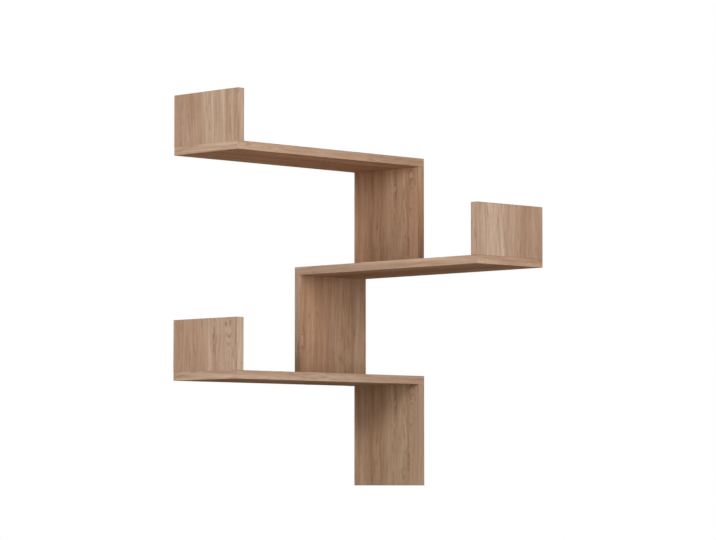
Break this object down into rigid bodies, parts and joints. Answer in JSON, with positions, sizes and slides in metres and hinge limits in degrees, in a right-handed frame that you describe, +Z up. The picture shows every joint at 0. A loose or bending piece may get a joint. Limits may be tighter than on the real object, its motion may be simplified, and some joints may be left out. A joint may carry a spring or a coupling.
{
  "type": "corner wall shelf",
  "caption": "Zigzag corner wall shelf of pale oak-decor boards: shelves alternate between the two walls, each with a low end upright and a wall panel under its inner end.",
  "frame": {"origin": "on the vertical line where the two walls of the room corner meet, level with the lower end of the lower wall panel", "axes": "+Z up; +X along the right-hand wall, which is the plane Y = 0; -Y along the left-hand wall, which is the plane X = 0; the shelf fills X 0 to 0.55 and Y -0.55 to 0"},
  "size_m": [0.55, 0.55, 0.824],
  "materials": {
    "oak_board": "matt oak-decor melamine on chipboard",
    "oak_band": "matt oak-decor plastic edge band",
    "decor_sticker": "matt oak-decor foil",
    "zinc_screw": "bright zinc-plated",
    "hanger_steel": "zinc-plated pressed sheet",
    "beech_dowel": "raw turned beech"
  },
  "bodies": {
    "root": {"bottom_shelf": "oak_board", "bottom_shelf_end_band": "oak_band", "bottom_shelf_front_band": "oak_band", "bottom_upright": "oak_board", "bottom_upright_dowel": "beech_dowel", "bottom_upright_front_band": "oak_band", "bottom_upright_screws": "zinc_screw", "bottom_upright_stickers": "decor_sticker", "bottom_upright_top_band": "oak_band", "lower_wall_panel": "oak_board", "lower_wall_panel_bottom_band": "oak_band", "lower_wall_panel_front_band": "oak_band", "lower_wall_panel_hanger_screws": "zinc_screw", "lower_wall_panel_hangers": "hanger_steel", "lower_wall_panel_head_dowel": "beech_dowel", "lower_wall_panel_head_screws": "zinc_screw", "lower_wall_panel_head_stickers": "decor_sticker", "middle_shelf": "oak_board", "middle_shelf_end_band": "oak_band", "middle_shelf_front_band": "oak_band", "middle_upright": "oak_board", "middle_upright_dowel": "beech_dowel", "middle_upright_front_band": "oak_band", "middle_upright_screws": "zinc_screw", "middle_upright_stickers": "decor_sticker", "middle_upright_top_band": "oak_band", "middle_wall_panel": "oak_board", "middle_wall_panel_foot_dowel": "beech_dowel", "middle_wall_panel_foot_screws": "zinc_screw", "middle_wall_panel_foot_stickers": "decor_sticker", "middle_wall_panel_front_band": "oak_band", "middle_wall_panel_hanger_screws": "zinc_screw", "middle_wall_panel_hangers": "hanger_steel", "middle_wall_panel_head_dowel": "beech_dowel", "middle_wall_panel_head_screws": "zinc_screw", "middle_wall_panel_head_stickers": "decor_sticker", "top_shelf": "oak_board", "top_shelf_end_band": "oak_band", "top_shelf_front_band": "oak_band", "top_upright": "oak_board", "top_upright_dowel": "beech_dowel", "top_upright_front_band": "oak_band", "top_upright_screws": "zinc_screw", "top_upright_stickers": "decor_sticker", "top_upright_top_band": "oak_band", "upper_wall_panel": "oak_board", "upper_wall_panel_foot_dowel": "beech_dowel", "upper_wall_panel_foot_screws": "zinc_screw", "upper_wall_panel_foot_stickers": "decor_sticker", "upper_wall_panel_front_band": "oak_band", "upper_wall_panel_hanger_screws": "zinc_screw", "upper_wall_panel_hangers": "hanger_steel", "upper_wall_panel_head_dowel": "beech_dowel", "upper_wall_panel_head_screws": "zinc_screw", "upper_wall_panel_head_stickers": "decor_sticker"}
  },
  "joints": []
}
